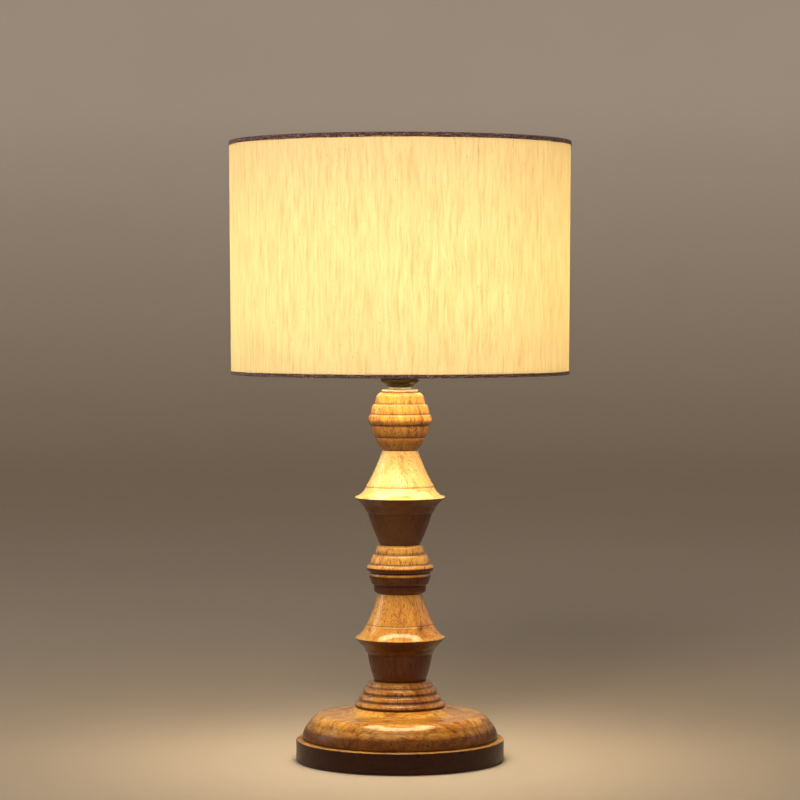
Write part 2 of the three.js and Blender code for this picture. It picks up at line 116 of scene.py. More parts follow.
def arc_points(start, end, bulge, step):
    """Points after start and up to end, on an arc that bows to the right of travel."""
    (r0, z0), (r1, z1) = start, end
    chord = math.hypot(r1 - r0, z1 - z0)
    count = max(1, round(chord * (1 + abs(bulge)) / step))
    if abs(bulge) < 1e-6:
        return list(zip(spaced(r0, r1, count), spaced(z0, z1, count)))[1:]
    side = math.copysign(1, bulge)
    sweep = 4 * math.atan(abs(bulge))
    radius = chord / 2 / math.sin(sweep / 2)
    reach = radius * math.cos(sweep / 2) * side
    centre_r = (r0 + r1) / 2 - (z1 - z0) / chord * reach
    centre_z = (z0 + z1) / 2 + (r1 - r0) / chord * reach
    first = math.atan2(z0 - centre_z, r0 - centre_r)
    angles = [first + side * sweep * k / count for k in range(1, count + 1)]
    return [(centre_r + radius * math.cos(a), centre_z + radius * math.sin(a))
            for a in angles]


def outline(corners, foot=0.0, step=0.15):
    """The points of an outline, with its arcs worked out."""
    corners = [(c[0], c[1] + foot, c[2] if len(c) > 2 else 0) for c in corners]
    points = [corners[0][:2]]
    for here, after in zip(corners, corners[1:]):
        points += arc_points(here[:2], after[:2], here[2], step)
    return points


def spaced(first, last, count):
    """Values from first to last in count even steps."""
    return [first + (last - first) * k / count for k in range(count + 1)]


def angles_round(count):
    return [FULL_TURN * k / count for k in range(count)]


def wave(turns):
    """Rises from 0 to 1 and falls back to 0 in each whole turn."""
    return 0.5 - 0.5 * math.cos(FULL_TURN * turns)


def on_circle(r, angle, z):
    """A point round the Z axis, made from millimetres into metres."""
    return r * math.cos(angle) * MM, r * math.sin(angle) * MM, z * MM


def blurred(values, sigma):
    """A closed run of rows, smoothed by a Gaussian of sigma steps."""
    frequency = np.fft.rfftfreq(len(values))
    weight = np.exp(-2 * (math.pi * sigma * frequency) ** 2)[:, None]
    return np.fft.irfft(np.fft.rfft(values, axis=0) * weight, len(values), axis=0)


def faired(loop, blur=0.2, spacing=0.08, longest=2.5):
    """A closed section with its corners eased, thinned where it is straight.

    Gives rows of radius, height, edge and lean. Edge is near 1 on a ridge and near -1 in a
    groove; lean is 1 where the surface faces up and -1 where it faces down.
    """
    points = np.array(list(loop) + [loop[0]])
    steps = np.hypot(*np.diff(points, axis=0).T)
    along = np.concatenate([[0], np.cumsum(steps)])
    count = int(along[-1] / spacing)
    places = np.arange(count) * along[-1] / count
    curve = np.stack([np.interp(places, along, points[:, k]) for k in (0, 1)], axis=1)
    curve = blurred(curve, blur / spacing)
    ahead = np.roll(curve, -1, axis=0) - curve
    heading = np.arctan2(ahead[:, 1], ahead[:, 0])
    bend = heading - np.roll(heading, 1)
    bend = (bend + math.pi) % FULL_TURN - math.pi
    edge = blurred(bend[:, None] / spacing, 0.65 / spacing)[:, 0]
    lean = blurred(-np.cos(heading)[:, None], 0.5 / spacing)[:, 0]
    kept = [0]
    turned_so_far = 0.0
    for k in range(1, count):
        turned_so_far += abs(bend[k])
        if turned_so_far > FACET_TURN or (k - kept[-1]) * spacing > longest:
            kept.append(k)
            turned_so_far = 0.0
    return np.column_stack([curve[kept], np.clip(edge[kept], -1, 1), lean[kept]])


def bored(points, bore):
    """An outline closed down a bore of the given radius."""
    return [(bore, points[0][1])] + points + [(bore, points[-1][1])]


# ---- meshes


def new_mesh(name, vertices, faces):
    mesh = bpy.data.meshes.new(name)
    mesh.from_pydata(vertices, [], faces)
    return mesh


def new_object(name, data):
    made = bpy.data.objects.new(name, data)
    bpy.context.scene.collection.objects.link(made)
    return made


def add_piece(node, slot, vertices, faces, material, marks=None, body="lamp_base"):
    """A smooth-shaded mesh in metres that rides on a CAD body and stands for a CAD node.

    marks holds an edge and a lean for each vertex, for the materials to read.
    """
    mesh = new_mesh(node + "_look", vertices, faces)
    mesh.update()
    mesh.shade_smooth()
    mesh.set_sharp_from_angle(angle=math.radians(50))
    if marks is not None:
        for column, mark in enumerate(("edge", "lean")):
            values = [pair[column] for pair in marks]
            mesh.attributes.new(mark, "FLOAT", "POINT").data.foreach_set("value", values)
    mesh.materials.append(material)
    piece = new_object(node + "_look", mesh)
    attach(piece, body)
    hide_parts(node)
    return piece


def revolved(section, segments, shape=None, closed=True):
    """Vertices, faces and marks of a section turned round the Z axis.

    shape(r, z, angle) may give back a new r. A row on the axis becomes one vertex.
    """
    vertices, marks, rings = [], [], []
    for row in section:
        r, z, *mark = row
        mark = mark or (0.0, 0.0)
        if r < 1e-4:
            rings.append([len(vertices)])
            vertices.append((0.0, 0.0, z * MM))
            marks.append(mark)
            continue
        rings.append(range(len(vertices), len(vertices) + segments))
        for angle in angles_round(segments):
            radius = shape(r, z, angle) if shape else r
            vertices.append(on_circle(radius, angle, z))
            marks.append(mark)
    faces = []
    pairs = list(zip(rings, rings[1:]))
    if closed:
        pairs.append((rings[-1], rings[0]))
    for low, high in pairs:
        faces += band(low, high)
    return vertices, faces, marks


def band(low, high):
    """Faces between two rings of vertices, either of which may be a single one."""
    count = max(len(low), len(high))
    faces = []
    for k in range(count if count > 1 else 0):
        after = (k + 1) % count
        corners = (low[k % len(low)], low[after % len(low)],
                   high[after % len(high)], high[k % len(high)])
        faces.append(tuple(dict.fromkeys(corners)))
    return faces


def skinned(loops):
    """Vertices and faces of a solid drawn through loops of points, with flat ends."""
    size = len(loops[0])
    vertices = [point for loop in loops for point in loop]
    rings = [range(k, k + size) for k in range(0, len(vertices), size)]
    faces = [face for low, high in zip(rings, rings[1:]) for face in band(low, high)]
    return vertices, faces + [tuple(reversed(rings[0])), tuple(rings[-1])]


def add_turned(node, slot, section, material, body="lamp_base", segments=96, shape=None,
               closed=True):
    """A piece turned from a section, which stands for a CAD node."""
    vertices, faces, marks = revolved(section, segments, shape, closed)
    return add_piece(node, slot, vertices, faces, material, marks, body)


def swept(path, radius, sides):
    """Vertices and faces of a round bar along a path, in metres, with rounded ends."""
    path = [Vector(p) for p in path]
    path = [path[0] + (path[0] - path[1]).normalized() * radius * 0.3] + path
    path.append(path[-1] + (path[-1] - path[-2]).normalized() * radius * 0.3)
    radii = [radius * 0.6] + [radius] * (len(path) - 2) + [radius * 0.6]
    side_on = Vector((0, 0, 1))
    if abs((path[1] - path[0]).normalized().dot(side_on)) > 0.9:
        side_on = Vector((0, 1, 0))
    loops = []
    for k, point in enumerate(path):
        ahead = (path[min(k + 1, len(path) - 1)] - path[max(k - 1, 0)]).normalized()
        across = ahead.cross(side_on).normalized()
        side_on = across.cross(ahead)
        loops.append([point + (across * math.cos(a) + side_on * math.sin(a)) * radii[k]
                      for a in angles_round(sides)])
    return skinned(loops)


def merged(parts):
    """Several pairs of vertices and faces made into one."""
    vertices, faces = [], []
    for more_vertices, more_faces in parts:
        shift = len(vertices)
        vertices += more_vertices
        faces += [tuple(v + shift for v in face) for face in more_faces]
    return vertices, faces


# ---- material nodes


class Shader:
    """A node material under construction."""

    def __init__(self, name):
        self.material = bpy.data.materials.new(name)
        self.material.use_nodes = True
        self.tree = self.material.node_tree
        self.tree.nodes.clear()
        self.output = self.node("OutputMaterial")
        coordinates = self.node("TexCoord")
        self.place = coordinates.outputs["Object"]
        self.cloth = coordinates.outputs["UV"]

    def node(self, kind, inputs=(), **settings):
        made = self.tree.nodes.new("ShaderNode" + kind)
        for key, value in settings.items():
            setattr(made, key, value)
        for socket, value in dict(inputs).items():
            self.feed(made.inputs[socket], value)
        return made

    def feed(self, socket, value):
        if isinstance(value, bpy.types.NodeSocket):
            self.tree.links.new(value, socket)
        elif isinstance(value, tuple) and len(value) == 3 and socket.type == "RGBA":
            socket.default_value = (*value, 1.0)
        else:
            socket.default_value = value

    def mapped(self, vector, scale=(1, 1, 1), location=(0, 0, 0), rotation=(0, 0, 0)):
        return self.node("Mapping", {
            "Vector": vector, "Scale": scale, "Location": location,
            "Rotation": tuple(math.radians(a) for a in rotation)}).outputs[0]

    def noise(self, vector, scale, detail=2.0, roughness=0.5, distortion=0.0, out=0):
        return self.node("TexNoise", {
            "Vector": vector, "Scale": scale, "Detail": detail, "Roughness": roughness,
            "Distortion": distortion}).outputs[out]

    def stretched(self, vector, scale, detail, roughness=0.5, **settings):
        """Noise with a scale of its own along each axis."""
        return self.noise(self.mapped(vector, scale, **settings), 1.0, detail, roughness)

    def math(self, operation, a, b=0.0, clamp=False):
        return self.node("Math", {0: a, 1: b}, operation=operation,
                         use_clamp=clamp).outputs[0]

    def times(self, a, b):
        return self.math("MULTIPLY", a, b)

    def total(self, *terms):
        """The sum of its terms, each a socket or a pair of a socket and its share."""
        terms = [self.times(*term) if isinstance(term, tuple) else term for term in terms]
        made = terms[0]
        for term in terms[1:]:
            made = self.math("ADD", made, term)
        return made

    def span(self, value, low, high, to_low=0.0, to_high=1.0):
        return self.node("MapRange", {
            "Value": value, "From Min": low, "From Max": high,
            "To Min": to_low, "To Max": to_high}).outputs[0]

    def vector_math(self, operation, a, b):
        return self.node("VectorMath", {0: a, 1: b}, operation=operation).outputs[0]

    def wandering(self, place, drift, reach):
        """A place moved about by a coloured noise, by up to half of reach each way."""
        drift = self.vector_math("SUBTRACT", drift, (0.5, 0.5, 0.5))
        return self.vector_math("ADD", place, self.vector_math("MULTIPLY", drift, reach))

    def mix(self, factor, a, b, blend="MIX"):
        made = self.node("Mix", data_type="RGBA", blend_type=blend)
        for index, value in ((0, factor), (6, a), (7, b)):
            self.feed(made.inputs[index], value)
        return made.outputs[2]

    def ramp(self, value, stops):
        """A colour for a value from 0 to 1."""
        made = self.node("ValToRGB", {0: value})
        ramp = made.color_ramp
        while len(ramp.elements) < len(stops):
            ramp.elements.new(0.5)
        for element, (place, colour) in zip(ramp.elements, stops):
            element.position = place
            element.color = (*colour, 1.0)
        return made.outputs[0]

    def bump(self, height, distance, strength, under=None):
        """Bump from a height of 0 to 1 that stands for distance in metres."""
        inputs = {"Height": height, "Distance": distance, "Strength": strength}
        if under is not None:
            inputs["Normal"] = under
        return self.node("Bump", inputs).outputs[0]

    def mark(self, name):
        """The edge or the lean that add_piece stored on the mesh."""
        return self.node("Attribute", attribute_name=name).outputs["Fac"]

    def principled(self, **sockets):
        names = {key.replace("_", " "): value for key, value in sockets.items()}
        return self.node("BsdfPrincipled", names).outputs[0]

    def finish(self, surface):
        self.feed(self.output.inputs["Surface"], surface)
        return self.material

    def finish_lit_through(self, surface, through, share, **sockets):
        """A surface that lets some of the light through, in the colour through."""
        glow = self.node("BsdfTranslucent", {"Color": through, **sockets}).outputs[0]
        return self.finish(self.node("MixShader", {0: share, 1: surface, 2: glow}).outputs[0])


def dimmed(colour, share):
    return tuple(share * part for part in colour)


# ---- wood


PALE = (0.80, 0.43, 0.09)
HONEY = (0.62, 0.26, 0.035)
BROWN = (0.20, 0.055, 0.008)
GROWTH_RING = 0.0026             # width in metres
SWAY = 0.022                     # how far the grain wanders, in metres


def wood(name, shift, pale=PALE, honey=HONEY, dark=BROWN, flat=False, swirl=1.0, streak=1.0,
         pore=0.55, painted_shade=0.97, painted_shade_from=0.1, painted_shade_to=-0.12,
         painted_shade_tint=(0.10, 0.035, 0.006), gloss=1.0):
    """Lacquered turned wood: long fibres that swirl, dark pores, faint rings, grooves darkened
    as painted shade.

    shift is the piece's place in the timber. A painted shade darkens the faces that look
    down and takes most of the lacquer's gloss off them, coming in as the surface leans from the
    upper to the lower of its two lean limits.
    """
    s = Shader(name)
    place = s.mapped(s.place, location=tuple(x * MM for x in shift),
                     rotation=(0, 90, 14) if flat else (3, 2, 0))
    sway = SWAY * swirl
    place = s.wandering(place, s.noise(place, 20.0, 2.0, 0.55, out=1),
                        (sway, sway, sway * 2.2))

    fibre = s.stretched(place, (520, 520, 30), 3.0, 0.6)
    strand = s.stretched(place, (190, 190, 12), 3.0, 0.6)
    cloud = s.stretched(place, (34, 34, 9), 3.0)
    ring = s.node("VectorMath", {0: s.mapped(place, scale=(1, 1, 0.1))},
                  operation="LENGTH").outputs["Value"]
    ring = s.math("PINGPONG", s.total(ring, (strand, 0.004)), GROWTH_RING)
    ring = s.math("DIVIDE", ring, GROWTH_RING)
    tone = s.total((ring, 0.10 * streak), (fibre, 0.34 * streak), (strand, 0.42 * streak),
                   (cloud, 0.6))
    middle = 0.30 + 0.43 * streak
    tone = s.span(tone, middle - 0.24, middle + 0.2)
    colour = s.ramp(tone, [(0.0, dark), (0.34, honey), (0.8, pale), (1.0, pale)])

    pores = s.stretched(place, (1300, 1300, 190), 1.0, 0.4)
    patches = s.stretched(place, (70, 70, 30), 2.0)
    pores = s.span(s.total(pores, (patches, 0.2)), 0.66, 0.76)
    colour = s.mix(s.times(pores, pore), colour, dimmed(dark, 0.4))

    # Grooves are darkened as painted shade; ridges are lightened, partly as worn edges and
    # partly as a painted highlight.
    edge = s.mark("edge")
    groove = s.span(edge, -0.08, -0.5)
    colour = s.mix(s.times(groove, 0.7), colour, dimmed(dark, 0.25))
    ridge = s.times(s.span(edge, 0.2, 0.9), s.span(strand, 0.4, 0.6))
    colour = s.mix(s.times(ridge, 0.4), colour, pale)

    # Painted shade: the wood is darkened where the surface faces down, as it leans from the
    # upper to the lower lean limit.
    lean = s.total(s.mark("lean"), (cloud, 0.12))
    shadow = s.times(s.span(lean, painted_shade_from + 0.06, painted_shade_to + 0.06), painted_shade)
    colour = s.mix(shadow, colour, painted_shade_tint, "MULTIPLY")

    smear = s.noise(s.place, 90.0, 3.0, 0.6)
    roughness = s.total(s.span(smear, 0.3, 0.7, 0.26, 0.4), (pores, 0.2))
    height = s.math("SUBTRACT", s.times(fibre, 0.25), pores)
    normal = s.bump(height, 0.00012, 0.8)
    tooling = s.node("TexWave", {
        "Vector": s.place, "Scale": 190.0, "Distortion": 1.2, "Detail": 1.0},
        wave_type="BANDS", bands_direction="Z").outputs[0]
    normal = s.bump(tooling, 0.000025, 0.6, under=normal)
    lacquer = s.bump(s.noise(s.place, 130.0, 2.0), 0.00012, 0.35)
    # Where the painted shade lies, most of the lacquer's gloss is taken away, so it reflects
    # less there.
    return s.finish(s.principled(
        Base_Color=colour, Roughness=roughness, Normal=normal, Specular_IOR_Level=0.25,
        Coat_Weight=s.times(s.span(shadow, 0.0, 1.0, 1.0, 0.12), gloss),
        Coat_Roughness=0.07, Coat_IOR=1.6, Coat_Normal=lacquer))


def make_wood_pieces():
    # Each piece's wood colours, and how strongly and from which lean the painted shade darkens
    # its faces that look down.
    tones = {
        "base_dome": dict(pale=(0.93, 0.49, 0.08), honey=(0.62, 0.23, 0.02),
                          dark=(0.20, 0.05, 0.008), shift=(44, 3, 12), flat=True, swirl=2.2,
                          streak=1.5, pore=0.6, painted_shade=0.92, painted_shade_from=0.88, painted_shade_to=0.46),
        "foot_collar": dict(pale=(0.66, 0.30, 0.055), honey=(0.44, 0.15, 0.02),
                            shift=(31, 62, 0), streak=1.2, pore=0.7, painted_shade=0.8,
                            painted_shade_from=0.25, painted_shade_to=-0.05),
        "lower_spool": dict(shift=(-42, 38, 20), streak=0.9),
        "middle_bead": dict(shift=(18, -51, 60), streak=1.2, pore=0.7, painted_shade_from=0.15,
                            painted_shade_to=0.0),
        # The upper spool is paler than the rest of the same wood: painted light from the lit
        # shade just above it.
        "upper_spool": dict(pale=(0.90, 0.68, 0.30), honey=(0.78, 0.47, 0.14),
                            shift=(-35, -44, 90), streak=0.6, pore=0.4),
        "top_bead": dict(shift=(52, 40, 5), streak=1.2, pore=0.7, painted_shade=0.6, painted_shade_from=0.0,
                         painted_shade_to=-0.5),
    }
    for node, (foot, corners) in TURNED.items():
        section = faired(bored(outline(corners, foot), ROD_BORE))
        add_turned(node, "turned_wood", section, wood("wood_" + node, **tones[node]),
                   segments=144)
    make_plinth()


def make_plinth():
    """The plinth, with its recess and the cord channel cut out of the turned shape."""
    foot, radius, height = PLINTH["foot"], PLINTH["radius"], PLINTH["height"]
    ceiling = foot + PLINTH["recess_depth"]
    recess = PLINTH["recess"]
    top = foot + height
    loop = [(ROD_BORE, ceiling), (recess, ceiling), (recess, foot)]
    loop += outline([(radius, foot), (radius, top - 0.6), (radius - 0.6, top)])
    loop += [(ROD_BORE, top)]
    # Painted shade: the plinth's sides, which face out, are darkened almost to black.
    material = wood("wood_plinth", (20, 10, 30), pale=(0.62, 0.34, 0.10),
                    honey=(0.40, 0.18, 0.04), flat=True, swirl=1.2, pore=0.6, painted_shade=1.0,
                    painted_shade_from=0.8, painted_shade_to=0.4, painted_shade_tint=(0.05, 0.016, 0.004), gloss=0.15)
    plinth = add_turned("plinth", "plinth_wood", faired(loop), material, segments=192)
    channel = [[(CORD_CHANNEL * math.cos(a) * MM, y * MM,
                 (CORD_HEIGHT + CORD_CHANNEL * math.sin(a)) * MM) for a in angles_round(40)]
               for y in (0.5 * recess, radius + 4)]
    vertices, faces = skinned(channel)
    cut_away(plinth, vertices, [tuple(reversed(face)) for face in faces])


def cut_away(piece, vertices, faces):
    """Cuts a closed shape out of a piece for good."""
    mesh = new_mesh("cutter", vertices, faces)
    tool = new_object("cutter", mesh)
    cut = piece.modifiers.new("cut", "BOOLEAN")
    cut.operation = "DIFFERENCE"
    cut.solver = "EXACT"
    cut.object = tool
    bpy.context.view_layer.update()
    graph = bpy.context.evaluated_depsgraph_get()
    result = bpy.data.meshes.new_from_object(piece.evaluated_get(graph))
    piece.modifiers.clear()
    piece.data = result
    bpy.data.objects.remove(tool)
    bpy.data.meshes.remove(mesh)


# ---- metals and plain materials


def metal(name, colour, roughness, tarnish=(0.05, 0.03, 0.015), dulled=0.35):
    """Turned or plated metal with fine scratches, duller patches and dirt in its corners."""
    s = Shader(name)
    patches = s.noise(s.place, 140.0, 4.0, 0.6)
    lines = s.stretched(s.place, (60, 60, 2600), 3.0, 0.6)
    dull = s.times(s.span(patches, 0.42, 0.72), dulled)
    groove = s.times(s.span(s.mark("edge"), -0.1, -0.8), 0.6)
    tinted = s.mix(s.math("MAXIMUM", dull, groove), colour, tarnish)
    rough = s.total(s.span(lines, 0.3, 0.7, roughness - 0.06, roughness + 0.1), (dull, 0.35))
    normal = s.bump(lines, 0.00003, 0.35)
    return s.finish(s.principled(Base_Color=tinted, Metallic=1.0, Roughness=rough,
                                 Normal=normal))


def coated(name, colour, roughness, grain, relief, **sockets):
    """Paint, glaze, rubber or glass, with a fine skin and mottling."""
    s = Shader(name)
    skin = s.noise(s.place, grain, 3.0, 0.55)
    mottle = s.noise(s.place, 75.0, 3.0, 0.6)
    tinted = s.mix(s.span(mottle, 0.3, 0.75, 0.0, 0.3), colour, dimmed(colour, 0.6))
    rough = s.span(mottle, 0.3, 0.7, roughness * 0.85, min(1.0, roughness * 1.2))
    return s.finish(s.principled(Base_Color=tinted, Roughness=rough,
                                 Normal=s.bump(skin, relief, 0.6), **sockets))


def felt_material():
    s = Shader("felt_brown")
    fibres = s.noise(s.mapped(s.place, scale=(1, 1, 0.3)), 1500.0, 5.0, 0.7, 1.5)
    tufts = s.noise(s.place, 220.0, 3.0, 0.6)
    colour = s.mix(s.span(fibres, 0.3, 0.7), (0.015, 0.010, 0.007), (0.13, 0.09, 0.065))
    colour = s.mix(s.span(tufts, 0.35, 0.75, 0.0, 0.6), colour, (0.03, 0.02, 0.014))
    normal = s.bump(s.total(fibres, (tufts, 0.6)), 0.0006, 1.0)
    return s.finish(s.principled(Base_Color=colour, Roughness=0.95, Sheen_Weight=0.15,
                                 Sheen_Roughness=0.5, Normal=normal))


def glowing(name, colour, strength, base, roughness):
    """Opal glass or a hot filament: it gives light of its own."""
    s = Shader(name)
    cloud = s.noise(s.place, 60.0, 3.0)
    shade = s.mix(s.span(cloud, 0.3, 0.7, 0.0, 0.15), base, dimmed(base, 0.8))
    made = s.finish(s.principled(
        Base_Color=shade, Roughness=s.span(cloud, 0.3, 0.7, roughness, roughness + 0.08),
        Emission_Color=colour, Emission_Strength=strength, Coat_Weight=0.6,
        Coat_Roughness=0.1, Normal=s.bump(cloud, 0.00005, 0.4)))
    made.cycles.emission_sampling = "NONE"
    return made


# ---- fittings under the wood


def make_felt():
    inside = FELT_RADIUS - 0.35
    top = FELT_THICKNESS
    rings = spaced(0.0, inside, 8)
    section = [(r, 0.0) for r in rings]
    section += [(FELT_RADIUS - 0.08, 0.16), (FELT_RADIUS, 0.42), (FELT_RADIUS - 0.1, top - 0.12)]
    section += [(r, top) for r in reversed(rings)]
    felt = add_turned("felt_pad", "felt", section, felt_material(), segments=160, closed=False)


def hex_nut(across_flats, bore, foot, height):
    """Vertices and faces of a hexagon nut with its corners turned down."""
    corner = across_flats / math.sqrt(3)
    flat = across_flats / 2
    profile = [(bore + 0.5, 0.0), (flat * 0.97, 0.0), (corner, 0.9), (corner, height - 0.9),
               (flat * 0.97, height), (bore + 0.5, height), (bore, height - 0.5), (bore, 0.5)]

    def hexagonal(r, z, angle):
        if r < flat:
            return r
        turn = (angle + math.pi / 6) % (math.pi / 3) - math.pi / 6
        return min(flat / math.cos(turn), corner)
    return revolved([(r, z + foot) for r, z in profile], 48, hexagonal)[:2]


def threaded(crest, depth, pitch, foot, top):
    """A shape function for a screw thread between two heights, which fades at its ends."""
    fade = 0.8

    def shape(r, z, angle):
        if abs(r - crest) > 0.05 or z < foot or z > top:
            return r
        share = min(1.0, (z - foot) / fade, (top - z) / fade)
        return r - depth * share * wave(z / pitch - angle / FULL_TURN)
    return shape


def make_rod_fittings():
    zinc = metal("zinc", (0.66, 0.65, 0.62), 0.3)
    nickel = metal("nickel", (1.0, 0.93, 0.78), 0.45, dulled=0.08)
    foot, top = 3.5, 286.5
    heights = spaced(foot, top, round((top - foot) / 0.25))
    rows = [(ROD_RADIUS, z) for z in heights] + [(ROD_INNER, z) for z in reversed(heights)]
    # The plain middle of the rod needs few rows.
    rows = [(r, z) for k, (r, z) in enumerate(rows) if z < 17 or z > 272 or k % 16 == 0]
    lower = threaded(ROD_RADIUS, 0.5, 1.0, foot, 16.5)
    upper = threaded(ROD_RADIUS, 0.5, 1.0, 272.5, top)

    def both_ends(r, z, angle):
        return upper(lower(r, z, angle), z, angle)
    add_turned("threaded_rod", "zinc_steel", rows, zinc, segments=32, shape=both_ends)
    washer = [(ROD_BORE, 9.7), (17.0, 9.7), (17.0, 11.2), (ROD_BORE, 11.2)]
    add_turned("bottom_washer", "zinc_steel", faired(washer, 0.25, 0.05), zinc)
    nut_bore = ROD_RADIUS + ROD_CLEARANCE
    vertices, faces = hex_nut(15.0, nut_bore, 4.9, 4.5)
    add_piece("bottom_nut", "zinc_steel", vertices, faces, zinc)
    flange = outline([(13.1, 0, .4), (13.6, 0.9, .5), (12.9, 1.75), (9.4, 1.9)], 274.3)
    add_turned("flange_washer", "nickel", faired(bored(flange, ROD_BORE), 0.08, 0.04), nickel,
               segments=128)
    nut = outline([(7.9, 0), (8.2, 0.3), (8.2, 1.2), (7.8, 1.5)], 276.5)
    knurl, knurls = 0.14, 48

    def knurled(r, z, angle):
        return r - knurl * wave(knurls * angle / FULL_TURN) if r > 8.0 else r
    add_turned("locknut", "nickel", faired(bored(nut, nut_bore), 0.06, 0.04), nickel,
               segments=192, shape=knurled)


def make_grommet():
    rubber = coated("grommet_rubber", (0.02, 0.018, 0.016), 0.62, 700.0, 0.00008)
    sleeve, length = CORD_CHANNEL - 0.3, 9.0
    section = outline([(3.8, 0), (sleeve, 0), (sleeve, length), (6.0, length),
                       (6.0, length + 0.84, .4), (5.0, length + 1.4), (4.1, length + 1.4),
                       (3.8, length + 1.1)])
    vertices, faces, marks = revolved(faired(section, 0.12, 0.05), 72)
    start = PLINTH["radius"] + 0.3 - length
    turned_over = [(x, start * MM + z, CORD_HEIGHT * MM - y) for x, y, z in vertices]
    add_piece("cord_grommet", "rubber", turned_over, faces, rubber, marks)


# ---- lamp holder and bulb


def make_holder():
    aged = metal("aged_brass", (0.13, 0.10, 0.05), 0.42, tarnish=(0.02, 0.013, 0.006))
    brass = metal("brass", (0.78, 0.56, 0.26), 0.24)
    foot, bore = 278.3, ROD_RADIUS + ROD_CLEARANCE
    cap = outline([(8.8, 0, .2), (10.1, .7), (10.3, 1.7, .1), (13.2, 3.6, .5), (14.2, 4.6, .5),
                   (13.9, 5.6), (14.6, 6.3, .1), (19.6, 12.2), (19.6, 13.7)], foot)
    cap += [(17.6, 292.0), (17.6, 289.8), (12.2, 284.9), (bore, 284.9), (bore, foot)]
    add_turned("holder_cap", "aged_brass", faired(cap, 0.12, 0.06), aged, segments=120)

    foot, top = 292.3, 322.0
    shoulder = foot + 9.0
    thread_foot = shoulder + 2.2
    crest = 19.4
    section = [(19.6, foot), (19.6, shoulder), (24.0, shoulder), (24.0, thread_foot)]
    section += outline([(crest, thread_foot), (crest, top)])
    section += [(15.2, top), (15.2, top - 1.4), (16.4, top - 1.4), (16.4, foot)]
    shape = threaded(crest, 0.45, 2.2, thread_foot + 0.6, top - 0.8)
    rows = faired(section, 0.1, 0.06, longest=0.3)
    add_turned("holder_shell", "brass", rows, brass, shape=shape)

    porcelain = coated("porcelain", (0.82, 0.79, 0.73), 0.25, 300.0, 0.00003, Coat_Weight=0.7,
                       Coat_Roughness=0.06)
    low = 288.4
    section = [(0.0, low), (13.5, low), (15.7, low + 2.2), (15.7, low + 14.6),
               (14.6, low + 14.6), (14.6, low + 8.6), (0.0, low + 8.6)]
    add_turned("holder_insulator", "porcelain", eased(section), porcelain, closed=False)

    inner, wall, foot, top = 13.45, 0.35, 297.6, 319.8
    pairs = rolled_thread(foot, top, 0.7, (top - foot) / THREAD_PITCH, 90)
    section = [(inner + wall + depth, z) for depth, z in pairs]
    section += [(inner + depth, z) for depth, z in reversed(pairs)]
    add_turned("screw_shell", "brass", section, brass)
    make_contact(brass)
    for number, x in ((1, -9.0), (2, 9.0)):
        make_terminal_screw(number, x, 287.0, brass)


def eased(section, radius=0.35):
    """An open section with its corners rounded."""
    points = [section[0]]
    for before, here, after in zip(section, section[1:], section[2:]):
        here = np.array(here, float)
        toward = [np.array(p, float) - here for p in (before, after)]
        cut = min(radius, *(np.hypot(*t) * 0.45 for t in toward))
        start, end = (here + t / np.hypot(*t) * cut for t in toward)
        for t in spaced(0.0, 1.0, 3):
            points.append(tuple((1 - t) ** 2 * start + 2 * t * (1 - t) * here + t * t * end))
    points.append(section[-1])
    return points


def rolled_thread(foot, top, swing, turns, steps):
    """Pairs of a rolled thread's depth and its height. Each ridge is one ring."""
    return [(swing * wave(turns * k / steps), z)
            for k, z in enumerate(spaced(foot, top, steps))]


def make_contact(material):
    """The spring strip that presses on the foot of the bulb."""
    foot = 297.3
    path = [(-10, 0), (-8, 0), (-5.4, 0), (-4.6, .12), (-4.0, .5), (-3.2, 1.0), (-2.4, 1.2),
            (-1, 1.25), (1, 1.25), (2.6, 1.1), (3, 0.9)]
    half_widths = [1.9, 2.0, 2.0, 2.0, 1.9, 1.9, 1.9, 2.0, 2.0, 1.8, 1.2]
    thick = 0.45
    loops = [[(x * MM, y * MM, (foot + z + up) * MM)
              for y, up in ((-w, 0), (w, 0), (w, thick), (-w, thick))]
             for (x, z), w in zip(path, half_widths)]
    add_piece("centre_contact", "brass", *skinned(loops), material)


def make_terminal_screw(number, x, z, material):
    """A slotted screw head on its side, facing the front."""
    section = eased([(0.0, -1.2), (1.7, -1.2), (1.8, 0.4), (1.3, 1.1), (0.0, 1.2)], 0.3)
    vertices, faces, _ = revolved(section, 32, closed=False)
    placed = [(x * MM + vx, -vz, z * MM + vy) for vx, vy, vz in vertices]
    screw = add_piece(f"terminal_screw_{number}", "brass", placed, faces, material)
    slot = [[((x + sx) * MM, (-1.3 + sy) * MM, (z + sz) * MM)
             for sy, sz in ((-.4, -.25), (.75, -.25), (.75, .25), (-.4, .25))]
            for sx in (-2.5, 2.5)]
    cut_away(screw, *skinned(slot))


def make_shade_ring():
    brass = metal("ring_brass", (0.74, 0.53, 0.25), 0.26)
    foot = 305.6
    loop = [(19.8, foot), (25.3, foot), (25.3, foot + 5.4), (24.3, foot + 7), (19.8, foot + 7)]

    def ribbed(r, z, angle):
        if r < 24.9 or z > foot + 5.2 or z < foot + 0.6:
            return r
        return r - 0.35 + 0.5 * abs(math.sin(24 * angle)) ** 0.7
    add_turned("shade_ring", "brass", faired(loop, 0.15, 0.06, longest=0.8), brass,
               body="ring_nut", segments=240, shape=ribbed)


